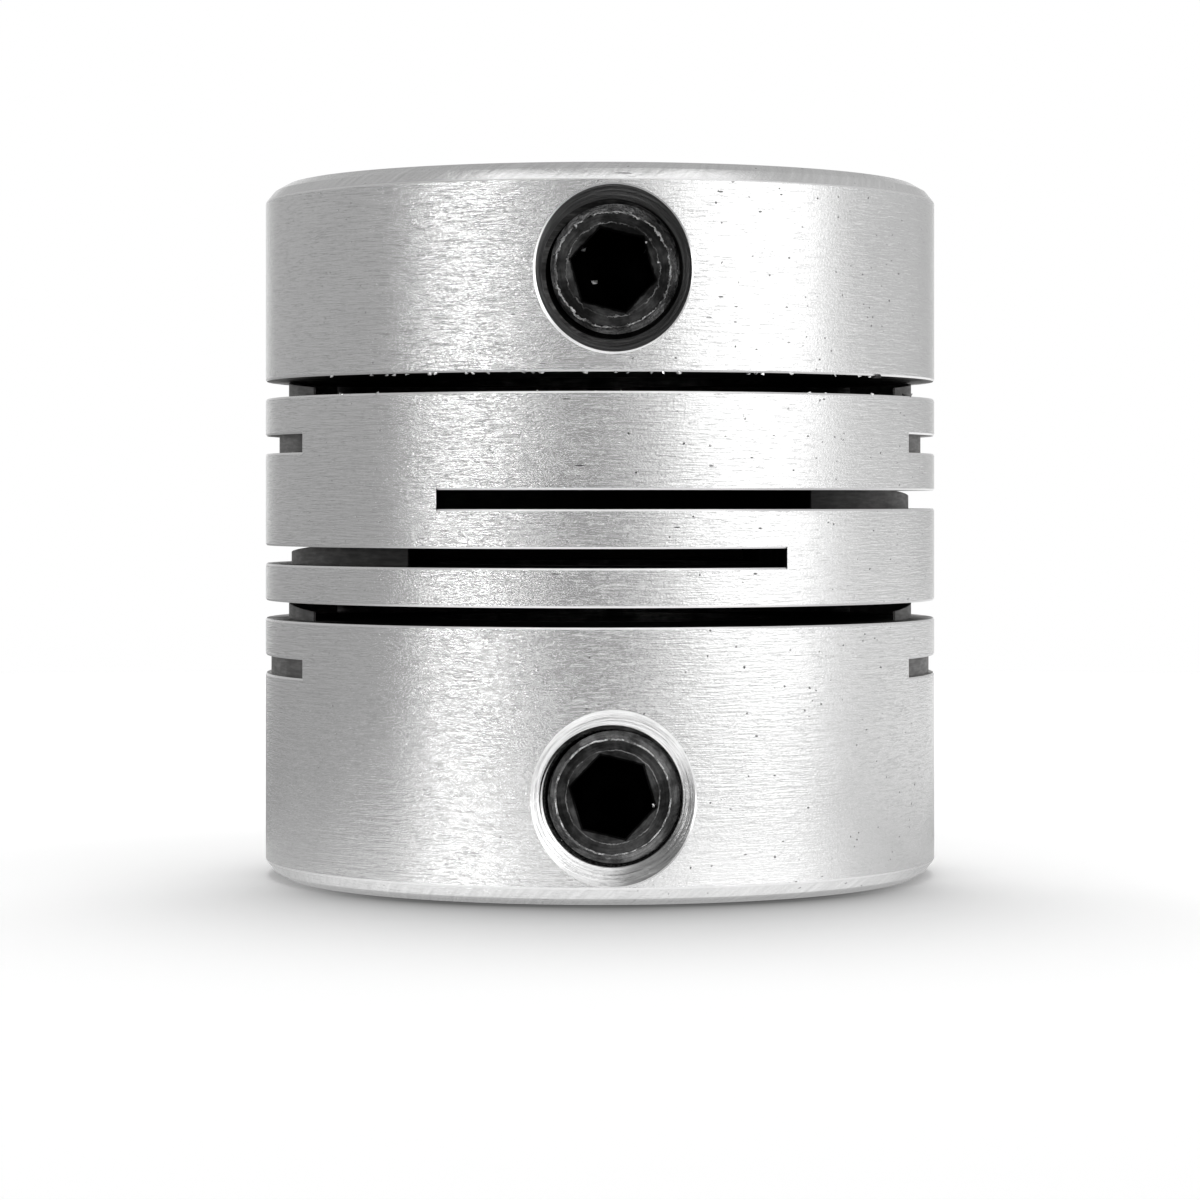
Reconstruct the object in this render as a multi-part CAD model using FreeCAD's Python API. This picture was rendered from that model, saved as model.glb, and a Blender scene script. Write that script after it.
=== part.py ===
import FreeCAD, Part
import math
import os

# One-piece parallel-slit shaft coupling, standing on its lower hub, with a hex socket set screw in
# each hub. Millimetres. The origin is on the bore axis at the lower end face, +Z runs up the bore
# and the set screws face -Y.

# Turned body
body_diameter = 25.0
lower_hub_height = 7.55  # lower end face to the lowest slit
upper_hub_height = 7.25  # highest slit to the upper end face

# Each end edge is broken twice: a steep facet next to the side, then a flat one next to the end face
steep_facet_inset = 0.30
steep_facet_height = 0.38
flat_facet_inset = 0.44
flat_facet_height = 0.25

# Bores
lower_bore_diameter = 10.0
upper_bore_diameter = 10.0
bore_edge_chamfer = 0.4
relief_step = 1.0  # how much the relief is wider than the larger bore, per side
relief_overrun = 0.5  # how far the relief runs past the slits, into each hub

# Slits, sawn square to the axis from one side each
slit_width = 0.67
land_thickness = 1.36  # disc left between two slits
slit_floor_margin = 0.1  # slit floors lie this far outside the relief
slit_open_sides = (90.0, -90.0, 180.0, 0.0, 90.0, -90.0)  # degrees from +X, lowest slit first

# Tapped holes for the set screws
screw_inset = 3.7  # end face to screw axis
countersink_angle = 60.0
lower_countersink_diameter = 6.05
upper_countersink_diameter = 5.8

# Set screws, hex socket with cup point
thread_diameter = 5.0
thread_play = 0.05  # gap per side between the screw and its hole
screw_recess = 0.9  # screw face below the side of the body
tip_clearance = 1.6  # cup rim to the wall of the bore, two turns of the thread
screw_face_diameter = 4.0
cup_diameter = 2.5
cup_angle = 120.0
socket_across_flats = 2.6
socket_mouth_diameter = 3.24
socket_drill_angle = 120.0
socket_floor = 1.3  # steel left between the socket and the cup
socket_turn = 46.5  # a corner of the hexagon above the +X side, seen from the front

# Worked out from the sizes above
body_radius = body_diameter / 2
lower_bore_radius = lower_bore_diameter / 2
upper_bore_radius = upper_bore_diameter / 2
relief_radius = max(lower_bore_radius, upper_bore_radius) + relief_step
slit_floor_offset = relief_radius + slit_floor_margin
slit_count = len(slit_open_sides)
slit_pitch = slit_width + land_thickness
slit_zone_height = slit_count * slit_pitch - land_thickness
body_length = lower_hub_height + slit_zone_height + upper_hub_height
edge_inset = steep_facet_inset + flat_facet_inset
edge_height = steep_facet_height + flat_facet_height
lower_screw_height = screw_inset
upper_screw_height = body_length - screw_inset
thread_radius = thread_diameter / 2
cutter_overlap = 1.0  # how far a cutting solid stands past the surface that it cuts

Z_AXIS = FreeCAD.Vector(0, 0, 1)
X_AXIS = FreeCAD.Vector(1, 0, 0)
CENTRE = FreeCAD.Vector(0, 0, 0)


def revolved(outline):
    """Solid of revolution about Z from a closed outline of (radius, height) points."""
    points = [FreeCAD.Vector(radius, 0, height) for radius, height in outline]
    face = Part.Face(Part.makePolygon(points + points[:1]))
    return face.revolve(CENTRE, Z_AXIS, 360)


def turned_blank():
    """The lathe work: side, broken end edges, hub bores with chamfered mouths and the relief."""
    relief_bottom = lower_hub_height - relief_overrun
    relief_top = body_length - upper_hub_height + relief_overrun
    return revolved(
        [
            (lower_bore_radius + bore_edge_chamfer, 0),
            (body_radius - edge_inset, 0),
            (body_radius - steep_facet_inset, flat_facet_height),
            (body_radius, edge_height),
            (body_radius, body_length - edge_height),
            (body_radius - steep_facet_inset, body_length - flat_facet_height),
            (body_radius - edge_inset, body_length),
            (upper_bore_radius + bore_edge_chamfer, body_length),
            (upper_bore_radius, body_length - bore_edge_chamfer),
            (upper_bore_radius, relief_top),
            (relief_radius, relief_top),
            (relief_radius, relief_bottom),
            (lower_bore_radius, relief_bottom),
            (lower_bore_radius, bore_edge_chamfer),
        ]
    )


def slit_cutter(number, open_side):
    """Saw cut from the open side, past the axis, to the flat slit floor."""
    reach = body_radius + cutter_overlap
    corner = FreeCAD.Vector(-slit_floor_offset, -reach, lower_hub_height + number * slit_pitch)
    cutter = Part.makeBox(slit_floor_offset + reach, 2 * reach, slit_width, corner)
    return cutter.rotated(CENTRE, Z_AXIS, open_side)


def screw_hole_cutter(height, mouth_diameter):
    """Tapped hole from the side into the bore, with its conical mouth."""
    hole_radius = thread_radius + thread_play
    mouth_radius = mouth_diameter / 2
    slope = math.tan(math.radians(countersink_angle / 2))
    inner_reach = body_radius - (mouth_radius - hole_radius) / slope
    outer_reach = body_radius + cutter_overlap
    hole = Part.makeCylinder(hole_radius, outer_reach)
    mouth = Part.makeCone(
        hole_radius,
        mouth_radius + cutter_overlap * slope,
        outer_reach - inner_reach,
        FreeCAD.Vector(0, 0, inner_reach),
    )
    cutter = hole.fuse(mouth).rotated(CENTRE, X_AXIS, 90)
    return cutter.translated(FreeCAD.Vector(0, 0, height))


def coupling_body():
    slits = [slit_cutter(number, side) for number, side in enumerate(slit_open_sides)]
    holes = [
        screw_hole_cutter(lower_screw_height, lower_countersink_diameter),
        screw_hole_cutter(upper_screw_height, upper_countersink_diameter),
    ]
    return turned_blank().cut(slits + holes)


def point_depth(radius, full_angle):
    """Depth of a conical hollow of the given radius and full angle."""
    return radius / math.tan(math.radians(full_angle / 2))


def screw_blank(length):
    """Set screw without its socket, outer face at height 0 and cup rim at the given length."""
    face_radius = screw_face_diameter / 2
    cup_radius = cup_diameter / 2
    return revolved(
        [
            (0, 0),
            (face_radius, 0),
            (thread_radius, thread_radius - face_radius),
            (thread_radius, length - (thread_radius - cup_radius)),
            (cup_radius, length),
            (0, length - point_depth(cup_radius, cup_angle)),
        ]
    )


def socket_cutter(length):
    """Hexagon with a conical mouth and a drilled bottom, as deep as the socket floor allows."""
    flat_radius = socket_across_flats / 2
    corner_radius = flat_radius / math.cos(math.radians(30))
    mouth_radius = socket_mouth_diameter / 2
    drill_depth = point_depth(flat_radius, socket_drill_angle)
    depth = length - point_depth(cup_diameter / 2, cup_angle) - socket_floor - drill_depth
    corners = []
    for number in range(6):
        angle = math.radians(socket_turn + 60 * number)
        corners.append(
            FreeCAD.Vector(corner_radius * math.cos(angle), -corner_radius * math.sin(angle), 0)
        )
    hexagon = Part.Face(Part.makePolygon(corners + corners[:1])).extrude(Z_AXIS * depth)
    mouth = revolved([(0, 0), (mouth_radius, 0), (0, mouth_radius)])
    drilled = revolved([(0, 0), (flat_radius, 0), (flat_radius, depth), (0, depth + drill_depth)])
    return hexagon.fuse([mouth, drilled])


def set_screw(height, bore_radius):
    """Set screw in its hole: face below the side of the body, cup towards the bore."""
    length = body_radius - screw_recess - tip_clearance - bore_radius
    screw = screw_blank(length).cut(socket_cutter(length))
    facing_out = screw.rotated(CENTRE, X_AXIS, -90)
    return facing_out.translated(FreeCAD.Vector(0, screw_recess - body_radius, height))


parts = {
    "coupling_body": coupling_body(),
    "lower_set_screw": set_screw(lower_screw_height, lower_bore_radius),
    "upper_set_screw": set_screw(upper_screw_height, upper_bore_radius),
}

os.makedirs("parts", exist_ok=True)
for name, shape in parts.items():
    shape.exportStep(os.path.join("parts", name + ".step"))
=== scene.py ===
import math
import random

import bmesh
import bpy
from mathutils import Matrix, Vector


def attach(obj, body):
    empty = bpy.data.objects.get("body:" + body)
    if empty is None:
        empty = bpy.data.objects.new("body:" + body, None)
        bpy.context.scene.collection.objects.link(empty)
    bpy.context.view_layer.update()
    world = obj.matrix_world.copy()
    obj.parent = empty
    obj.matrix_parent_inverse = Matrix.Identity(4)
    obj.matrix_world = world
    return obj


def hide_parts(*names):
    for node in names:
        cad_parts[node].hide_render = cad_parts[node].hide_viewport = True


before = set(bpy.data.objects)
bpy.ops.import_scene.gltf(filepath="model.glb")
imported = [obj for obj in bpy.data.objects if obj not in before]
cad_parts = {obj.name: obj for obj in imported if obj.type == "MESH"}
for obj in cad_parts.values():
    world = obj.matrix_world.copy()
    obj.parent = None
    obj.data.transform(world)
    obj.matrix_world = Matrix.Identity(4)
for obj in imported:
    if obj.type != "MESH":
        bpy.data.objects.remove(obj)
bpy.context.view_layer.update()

# Slit flexible shaft coupling. Metres. The origin is on the bore axis at the lower end face, +Z runs
# up the bore and the set screws face -Y.

mm = 0.001

# Turned body, the same sizes as the solids
body_radius = 12.5 * mm
body_length = 25.62 * mm
steep_facet_inset = 0.30 * mm
steep_facet_height = 0.38 * mm
flat_facet_inset = 0.44 * mm
flat_facet_height = 0.25 * mm
bore_radius = 5.0 * mm
bore_edge_chamfer = 0.4 * mm
relief_radius = 6.0 * mm
relief_overrun = 0.5 * mm
lower_hub_height = 7.55 * mm
upper_hub_height = 7.25 * mm
slit_width = 0.67 * mm
slit_pitch = 2.03 * mm
slit_floor_offset = 6.1 * mm
slit_open_sides = (90, -90, 180, 0, 90, -90)  # degrees from +X, lowest slit first

# Set screws and their holes
screw_inset = 3.7 * mm
lower_screw_height = screw_inset
upper_screw_height = body_length - screw_inset
lower_mouth_radius = 3.025 * mm
upper_mouth_radius = 2.9 * mm
mouth_half_angle = 30
mouth_slope = math.tan(math.radians(mouth_half_angle))
screw_recess = 0.9 * mm
screw_length = 5.0 * mm
screw_face_radius = 2.0 * mm
cup_radius = 1.25 * mm
cup_angle = 120
socket_across_flats = 2.6 * mm
socket_sides = 6
socket_side_angle = 360 / socket_sides
socket_mouth_radius = 1.62 * mm
socket_drill_angle = 120
socket_mouth_angle = 110
socket_floor = 1.3 * mm
socket_turn = 46.5  # degrees, a corner of the hexagon above the +X side, seen from the front

# M5 thread
thread_pitch = 0.8 * mm
thread_crest_radius = 2.5 * mm
thread_root_radius = 2.01 * mm
thread_crest_width = 0.1 * mm
thread_excess = 0.01 * mm  # how far the rod's crests stand past the blank that trims them
flank_angle = 30
flank_slope = math.tan(math.radians(flank_angle))
groove_radius = 2.55 * mm
ridge_radius = 2.1 * mm
groove_width = 0.12 * mm
thread_start = -40  # degrees, where the hole's thread runs out into its mouth

# Small edge breaks
corner_break = 0.03 * mm
slit_lip = 0.045 * mm  # depth below the side
slit_lip_slope = 1.5  # its height for each unit of depth
mouth_lip = 0.035 * mm
mouth_lip_extra = 0.035 * mm
mouth_lip_turn = math.radians(30)
screw_edge_break = 0.04 * mm

# Burrs along the top slit. Shares are of the burr size
burr_seed = 5
burr_size = 0.10 * mm
burr_corners = 9
upper_edge_burrs = 34
lower_edge_burrs = 8
burr_arc = (-145, -40)  # degrees from +X
burr_depth_share = (0.2, 1.0)  # centre below the side
burr_length_share = (0.4, 1.3)
burr_width_share = 0.5
burr_height_share = 0.6
upper_burr_drop = 0.3
large_burrs = ((-28, 0, 2.2), (-40, 1, 2.6))  # degrees from +X, share of the slit's height, size share
large_burr_depth = 1.5
large_burr_height = 1.3

# Bright specks on the screws, partly swarf and partly placed as painted glints: right, up, depth below the
# screw's face, and size, all in mm
lower_screw_glint_specks = (
    (1.42, -0.30, 0.12, 0.14),
    (-1.50, -1.88, 0.42, 0.13),
    (-1.78, -1.52, 0.33, 0.08),
)
upper_screw_glint_specks = (
    (-1.28, 1.48, 0.0, 0.16),
    (-0.55, -0.28, 2.56, 0.26),
    (-0.98, 0.76, 0.9, 0.18),
    (1.18, 0.95, 0.1, 0.14),
    (1.14, 0.65, 0.5, 0.14),
    (1.52, -0.62, 0.0, 0.17),
    (1.58, 0.22, 0.0, 0.12),
    (-1.45, -2.00, 0.45, 0.10),
)
speck_shape = (0.5, 0.3, 0.5)  # reach right, outwards and up for each unit of size

# Thin dark sheets of painted shade that close the view through the slits: slit number from the lowest,
# radius in mm, degrees from +X at both ends, and how much of its height it loses at each end
slit_shade_sheets = (
    (0, 12.25, -29, 25, 0.0, 0.0),
    (0, 12.25, 155, 209, 0.0, 0.0),
    (1, 11.6, -25, 30, 0.5, 0.0),
    (1, 11.6, 150, 205, 0.0, 0.5),
    (2, 11.3, 56, 172, 0.0, 0.4),
    (2, 11.5, 176, 232, 0.5, 0.0),
    (3, 11.3, 8, 124, 0.4, 0.0),
    (3, 11.5, -52, 4, 0.0, 0.5),
    (4, 11.95, -29, 25, 0.0, 0.0),
    (4, 11.95, 155, 209, 0.0, 0.0),
    (5, 11.6, -25, 30, 0.5, 0.0),
    (5, 11.6, 150, 205, 0.0, 0.5),
)
shade_sheet_thickness = 0.08 * mm
shade_sheet_taper = 28  # degrees
shade_sheet_step = 3  # degrees

# Fineness of the meshes
body_columns = 288
slit_columns = 286
hole_columns = 160
half_column = 0.5  # by which the columns of the screws' shapes are turned
thread_columns = 96
spare_turns = 2  # of thread past both ends, which the ends cut flat
rim_rounds = 8  # of the sum that finds where a mouth meets the round side
overlap = 0.6 * mm  # how far a cutting shape stands past the surface that it cuts
weld_distance = 0.0001 * mm
sharp_angle = math.radians(17)


def facing_out(height):
    """Frame of a set screw: its Z runs outwards from the bore axis, its X stays to the right."""
    return Matrix(((1, 0, 0, 0), (0, 0, -1, 0), (0, 1, 0, height), (0, 0, 0, 1)))


def on_circle(radius, angle, height):
    return (radius * math.cos(angle), radius * math.sin(angle), height)


def circle_angles(columns, shift=0):
    return [2 * math.pi * (i + shift) / columns for i in range(columns)]


def add_ring(bm, points):
    return [bm.verts.new(point) for point in points]


def add_circle(bm, radius, height, angles):
    return add_ring(bm, [on_circle(radius, angle, height) for angle in angles])


def join_rings(bm, lower, upper, material=0):
    """Quads between two closed rings that turn the same way; the faces look away from the axis."""
    count = len(lower)
    for i in range(count):
        j = (i + 1) % count
        face = bm.faces.new((lower[i], lower[j], upper[j], upper[i]))
        face.material_index = material


def closed_lathe(bm, outline, materials):
    """Ring-shaped solid: a closed outline of (radius, height) turned about Z."""
    angles = circle_angles(body_columns)
    rings = [add_circle(bm, radius, height, angles) for radius, height in outline]
    for number, material in enumerate(materials):
        join_rings(bm, rings[number], rings[(number + 1) % len(rings)], material)


def join_all(bm, rings):
    for lower, upper in zip(rings, rings[1:]):
        join_rings(bm, lower, upper)


def open_lathe(bm, outline):
    """Side of a solid that meets the axis at both ends: (radius, height) rows, lowest first."""
    angles = circle_angles(hole_columns, half_column)
    rings = [add_circle(bm, radius, height, angles) for radius, height in outline]
    join_all(bm, rings)
    return rings


def close_flat(bm, ring, faces_up):
    bm.faces.new(ring if faces_up else ring[::-1])


def close_ends(bm, rings):
    close_flat(bm, rings[0], False)
    close_flat(bm, rings[-1], True)


def close_point(bm, ring, height):
    """Cone from a ring to a point on the axis; the faces look down."""
    tip = bm.verts.new((0, 0, height))
    for i, corner in enumerate(ring):
        bm.faces.new((ring[(i + 1) % len(ring)], corner, tip))


def face_outwards(bm):
    bmesh.ops.recalc_face_normals(bm, faces=bm.faces[:])


def thread_radius_at(distance, crest_radius, root_radius, crest_width):
    """Radius of a thread at a distance along the axis from the middle of its crest."""
    return max(root_radius, crest_radius - max(0, distance - crest_width / 2) / flank_slope)


def thread_offsets(crest_radius, root_radius, crest_width):
    """Corners of one turn of the thread, as distances along the axis."""
    flank = (crest_radius - root_radius) * flank_slope
    crest_end = crest_width / 2
    corners = (crest_end, crest_end + flank / 2, crest_end + flank)
    return [-corner for corner in reversed(corners)] + list(corners)


def thread_column(bm, bottom, top, angle, crest_radius, root_radius, crest_width):
    """Points of the thread along one line from the lower to the upper end."""
    first_turn = math.floor(bottom / thread_pitch) - spare_turns
    last_turn = math.ceil(top / thread_pitch) + spare_turns
    rise = thread_pitch * (angle - math.radians(thread_start)) / (2 * math.pi)
    column = []
    for turn in range(first_turn, last_turn):
        for offset in thread_offsets(crest_radius, root_radius, crest_width):
            height = min(max(turn * thread_pitch + rise + offset, bottom), top)
            from_crest = (height - rise + thread_pitch / 2) % thread_pitch - thread_pitch / 2
            radius = thread_radius_at(abs(from_crest), crest_radius, root_radius, crest_width)
            column.append(bm.verts.new(on_circle(radius, angle, height)))
    return column


def threaded_rod(bottom, top, *profile):
    """Right-hand threaded rod along Z with flat ends; profile is crest and root radius, crest width."""
    bm = bmesh.new()
    columns = [
        thread_column(bm, bottom, top, angle, *profile) for angle in circle_angles(thread_columns)
    ]
    points_per_turn = len(thread_offsets(*profile))
    for i, here in enumerate(columns):
        there = columns[(i + 1) % thread_columns]
        shift = points_per_turn if i == thread_columns - 1 else 0
        for k in range(len(here) - 1 - shift):
            bm.faces.new((here[k], there[k + shift], there[k + shift + 1], here[k + 1]))
    close_flat(bm, [column[-1] for column in columns], True)
    close_flat(bm, [column[0] for column in columns], False)
    bmesh.ops.remove_doubles(bm, verts=bm.verts[:], dist=weld_distance)
    face_outwards(bm)
    return bm


def as_object(name, bm, materials):
    mesh = bpy.data.meshes.new(name)
    bm.to_mesh(mesh)
    bm.free()
    for material in materials:
        mesh.materials.append(material)
    piece = bpy.data.objects.new(name, mesh)
    bpy.context.scene.collection.objects.link(piece)
    return piece


def combine(piece, tool, operation):
    """Boolean of a piece with a tool shape, which is used up. Cut faces take the tool's material."""
    step = piece.modifiers.new(operation, "BOOLEAN")
    step.operation = operation
    step.solver = "MANIFOLD"
    step.material_mode = "TRANSFER"
    step.object = tool
    apply_modifiers(piece)
    used_up = tool.data
    bpy.data.objects.remove(tool)
    bpy.data.meshes.remove(used_up)


def apply_modifiers(piece):
    bpy.context.view_layer.update()
    evaluated = piece.evaluated_get(bpy.context.evaluated_depsgraph_get())
    mesh = bpy.data.meshes.new_from_object(evaluated)
    previous = piece.data
    piece.modifiers.clear()
    piece.data = mesh
    bpy.data.meshes.remove(previous)
    mesh.name = piece.name


def shade(piece):
    """Smooth shading that stays crisp at the edges."""
    piece.data.shade_smooth()
    piece.data.set_sharp_from_angle(angle=sharp_angle)


def slit_loop(radius, height, open_side):
    """D-shaped outline of a slit at a radius: an arc about the axis, which the flat floor closes."""
    half_arc = math.acos(-slit_floor_offset / radius)
    points = []
    for i in range(slit_columns + 1):
        angle = half_arc * (2 * i / slit_columns - 1) + math.radians(open_side)
        points.append(on_circle(radius, angle, height))
    return points


def slit_cutter(bottom, open_side, wall, lip_with_painted_highlight):
    """Saw cut with a flare at the side of the body, which breaks the edges of its lips."""
    bm = bmesh.new()
    top = bottom + slit_width
    inner = body_radius - slit_lip
    outer = body_radius + overlap
    flare = (slit_lip + overlap) * slit_lip_slope
    levels = ((inner, bottom), (outer, bottom - flare), (outer, top + flare), (inner, top))
    loops = [add_ring(bm, slit_loop(radius, height, open_side)) for radius, height in levels]
    flares = []
    for below, above in zip(loops, loops[1:]):
        for i in range(slit_columns):
            flares.append(bm.faces.new((below[i], below[i + 1], above[i + 1], above[i])))
    bm.faces.new(loops[0])
    bm.faces.new(loops[-1])
    bm.faces.new([loop[0] for loop in loops] + [loop[-1] for loop in reversed(loops)])
    face_outwards(bm)
    for face in flares:
        face.material_index = 1
    return as_object("slit_cutter", bm, [wall, lip_with_painted_highlight])


def rim_point(mouth_radius, angle):
    """Where a hole's conical mouth meets the side of the body: radius and height in the hole's frame."""
    radius = mouth_radius
    for _ in range(rim_rounds):
        height = math.sqrt(body_radius**2 - (radius * math.cos(angle)) ** 2)
        radius = mouth_radius - (body_radius - height) * mouth_slope
    return radius, height


def mouth_profile(mouth_radius, extra_lip, angle):
    """Corners of a mouth's cutter at an angle round the hole, deepest first."""
    apex_radius = ridge_radius - 2 * mouth_lip
    apex_height = body_radius - (mouth_radius - apex_radius) / mouth_slope
    broken = mouth_lip + extra_lip * max(0, -math.cos(angle - mouth_lip_turn)) ** 2
    radius, height = rim_point(mouth_radius, angle)
    edge = radius - broken * mouth_slope
    flare = broken + overlap
    return (
        (apex_radius, apex_height),
        (edge, height - broken),
        (edge + flare / mouth_slope, height - broken + flare),
        (edge + flare / mouth_slope, body_radius + 2 * overlap),
    )


def mouth_cutter(screw_height, mouth_radius, extra_lip, wall, lip_with_painted_highlight):
    """Conical mouth of a screw hole with a broken edge that follows the curved side of the body."""
    bm = bmesh.new()
    rings = [[], [], [], []]
    for angle in circle_angles(hole_columns):
        for ring, (r, z) in zip(rings, mouth_profile(mouth_radius, extra_lip, angle)):
            ring.append(bm.verts.new(on_circle(r, angle, z)))
    join_all(bm, rings)
    close_ends(bm, rings)
    face_outwards(bm)
    bm.faces.ensure_lookup_table()
    for face in bm.faces[hole_columns : 2 * hole_columns]:
        face.material_index = 1
    bm.transform(facing_out(screw_height))
    return as_object("mouth_cutter", bm, [wall, lip_with_painted_highlight])


def thread_cutter(screw_height, wall):
    """Tapped hole from the bore to the side of the body."""
    inner_end = bore_radius - 2 * overlap
    outer_end = body_radius + overlap
    bm = threaded_rod(inner_end, outer_end, groove_radius, ridge_radius, groove_width)
    bm.transform(facing_out(screw_height))
    return as_object("thread_cutter", bm, [wall])


def body_outline():
    """Closed outline of the turned body: radius, height, and the finish from there to the next row."""
    edge_inset = steep_facet_inset + flat_facet_inset
    edge_height = steep_facet_height + flat_facet_height
    corner_inset = corner_break * steep_facet_inset / steep_facet_height
    relief_bottom = lower_hub_height - relief_overrun
    relief_top = body_length - upper_hub_height + relief_overrun
    return (
        (bore_radius + bore_edge_chamfer, 0, "turned"),
        (body_radius - edge_inset, 0, "facet"),
        (body_radius - steep_facet_inset, flat_facet_height, "facet"),
        (body_radius - corner_inset, edge_height - corner_break, "lip_with_painted_highlight"),
        (body_radius, edge_height + corner_break, "turned"),
        (body_radius, body_length - edge_height - corner_break, "lip_with_painted_highlight"),
        (body_radius - corner_inset, body_length - edge_height + corner_break, "facet"),
        (body_radius - steep_facet_inset, body_length - flat_facet_height, "facet"),
        (body_radius - edge_inset, body_length, "turned"),
        (bore_radius + bore_edge_chamfer, body_length, "bored"),
        (bore_radius, body_length - bore_edge_chamfer, "bored"),
        (bore_radius, relief_top, "relief"),
        (relief_radius, relief_top, "relief"),
        (relief_radius, relief_bottom, "relief"),
        (bore_radius, relief_bottom, "bored"),
        (bore_radius, bore_edge_chamfer, "bored"),
    )


def coupling_body(materials):
    """The turned bar with its bores, six slits and two tapped holes."""
    bm = bmesh.new()
    finishes = ("turned", "bored", "relief", "facet", "lip_with_painted_highlight")
    outline = [(radius, height) for radius, height, _ in body_outline()]
    slots = [finishes.index(finish) for _, _, finish in body_outline()]
    closed_lathe(bm, outline, slots)
    face_outwards(bm)
    body = as_object("turned_body", bm, [materials[finish] for finish in finishes])
    for number, open_side in enumerate(slit_open_sides):
        bottom = lower_hub_height + number * slit_pitch
        cutter = slit_cutter(bottom, open_side, materials["sawn"], materials["lip_with_painted_highlight"])
        combine(body, cutter, "DIFFERENCE")
    holes = (
        (lower_screw_height, lower_mouth_radius, 0, materials["lower_mouth"]),
        (upper_screw_height, upper_mouth_radius, mouth_lip_extra, materials["upper_mouth"]),
    )
    for height, mouth_radius, extra_lip, mouth in holes:
        combine(body, thread_cutter(height, materials["tapped"]), "DIFFERENCE")
        cutter = mouth_cutter(height, mouth_radius, extra_lip, mouth, materials["lip_with_painted_highlight"])
        combine(body, cutter, "DIFFERENCE")
    shade(body)
    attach(body, "body")
    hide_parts("coupling_body")


def cone_depth(radius, full_angle):
    return radius / math.tan(math.radians(full_angle / 2))


def screw_blank(face_height, material):
    """Set screw without thread and socket: flat face, chamfered ends and cup."""
    bm = bmesh.new()
    tip = face_height - screw_length
    chamfer = thread_crest_radius - screw_face_radius
    soft = screw_edge_break
    outline = [
        (cup_radius, tip),
        (cup_radius + soft, tip + soft / 2),
        (thread_crest_radius, tip + thread_crest_radius - cup_radius),
        (thread_crest_radius, face_height - chamfer),
        (screw_face_radius + soft / 2, face_height - soft),
        (screw_face_radius - soft, face_height),
    ]
    rings = open_lathe(bm, outline)
    close_point(bm, rings[0], tip + cone_depth(cup_radius, cup_angle))
    close_flat(bm, rings[-1], True)
    face_outwards(bm)
    return as_object("screw_blank", bm, [material])


def hexagon_cutter(bottom, top, material):
    bm = bmesh.new()
    corner_radius = socket_across_flats / 2 / math.cos(math.radians(socket_side_angle / 2))
    angles = [math.radians(socket_turn + socket_side_angle * i) for i in range(socket_sides)]
    rings = [add_circle(bm, corner_radius, height, angles) for height in (bottom, top)]
    join_all(bm, rings)
    close_ends(bm, rings)
    face_outwards(bm)
    return as_object("hexagon", bm, [material])


def drill_cutter(bottom, material):
    """Drill point under the hexagon."""
    bm = bmesh.new()
    radius = socket_across_flats / 2 - screw_edge_break
    rings = open_lathe(bm, [(radius, bottom), (radius, bottom + overlap)])
    close_point(bm, rings[0], bottom - cone_depth(radius, socket_drill_angle))
    close_flat(bm, rings[1], True)
    face_outwards(bm)
    return as_object("drilled", bm, [material])


def lead_in_cutter(face_height, material):
    """Conical mouth of the socket."""
    bm = bmesh.new()
    slope = math.tan(math.radians(socket_mouth_angle / 2))
    wide = socket_mouth_radius + overlap
    narrow = socket_across_flats / 2 - overlap
    outline = [
        (narrow, face_height - (socket_mouth_radius - narrow) / slope),
        (wide, face_height + overlap / slope),
    ]
    close_ends(bm, open_lathe(bm, outline))
    face_outwards(bm)
    return as_object("mouth", bm, [material])


def set_screw(name, height, body_name, node, materials):
    """Hex socket set screw with its thread, made upright and then laid into its hole."""
    face_height = body_radius - screw_recess
    drill_depth = cone_depth(socket_across_flats / 2, socket_drill_angle)
    socket_depth = screw_length - cone_depth(cup_radius, cup_angle) - socket_floor - drill_depth
    socket_bottom = face_height - socket_depth
    rod = threaded_rod(
        face_height - screw_length - overlap,
        face_height + overlap,
        thread_crest_radius + thread_excess,
        thread_root_radius,
        thread_crest_width,
    )
    screw = as_object(name, rod, [materials["thread"]])
    combine(screw, screw_blank(face_height, materials["steel"]), "INTERSECT")
    hexagon = hexagon_cutter(socket_bottom, face_height + overlap, materials["socket"])
    combine(screw, hexagon, "DIFFERENCE")
    combine(screw, drill_cutter(socket_bottom, materials["socket"]), "DIFFERENCE")
    combine(screw, lead_in_cutter(face_height, materials["steel"]), "DIFFERENCE")
    screw.data.transform(facing_out(height))
    shade(screw)
    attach(screw, body_name)
    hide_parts(node)


def add_flake(bm, draw, centre, size):
    """Irregular flake: the hull of a few random points round its centre."""
    points = []
    for _ in range(burr_corners):
        offset = Vector([draw.uniform(-1, 1) * length for length in size])
        points.append(bm.verts.new(centre + offset))
    hull = bmesh.ops.convex_hull(bm, input=points)
    inner = [item for item in hull["geom_interior"] if isinstance(item, bmesh.types.BMVert)]
    bmesh.ops.delete(bm, geom=inner, context="VERTS")


def finish_flakes(name, bm, material, body_name):
    face_outwards(bm)
    flakes = as_object(name, bm, [material])
    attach(flakes, body_name)


def top_slit_burrs(material):
    """Burrs left along the edges of the top slit."""
    draw = random.Random(burr_seed)
    bm = bmesh.new()
    bottom = lower_hub_height + (len(slit_open_sides) - 1) * slit_pitch
    upper = bottom + slit_width - upper_burr_drop * burr_size
    edges = [upper] * upper_edge_burrs + [bottom] * lower_edge_burrs
    for height in edges:
        angle = math.radians(draw.uniform(*burr_arc))
        radius = body_radius - draw.uniform(*burr_depth_share) * burr_size
        along = draw.uniform(*burr_length_share) * burr_size
        centre = Vector(on_circle(radius, angle, height))
        add_flake(bm, draw, centre, (along, burr_width_share * burr_size, burr_height_share * burr_size))
    finish_flakes("slit_chips", bm, material, "body")


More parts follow.
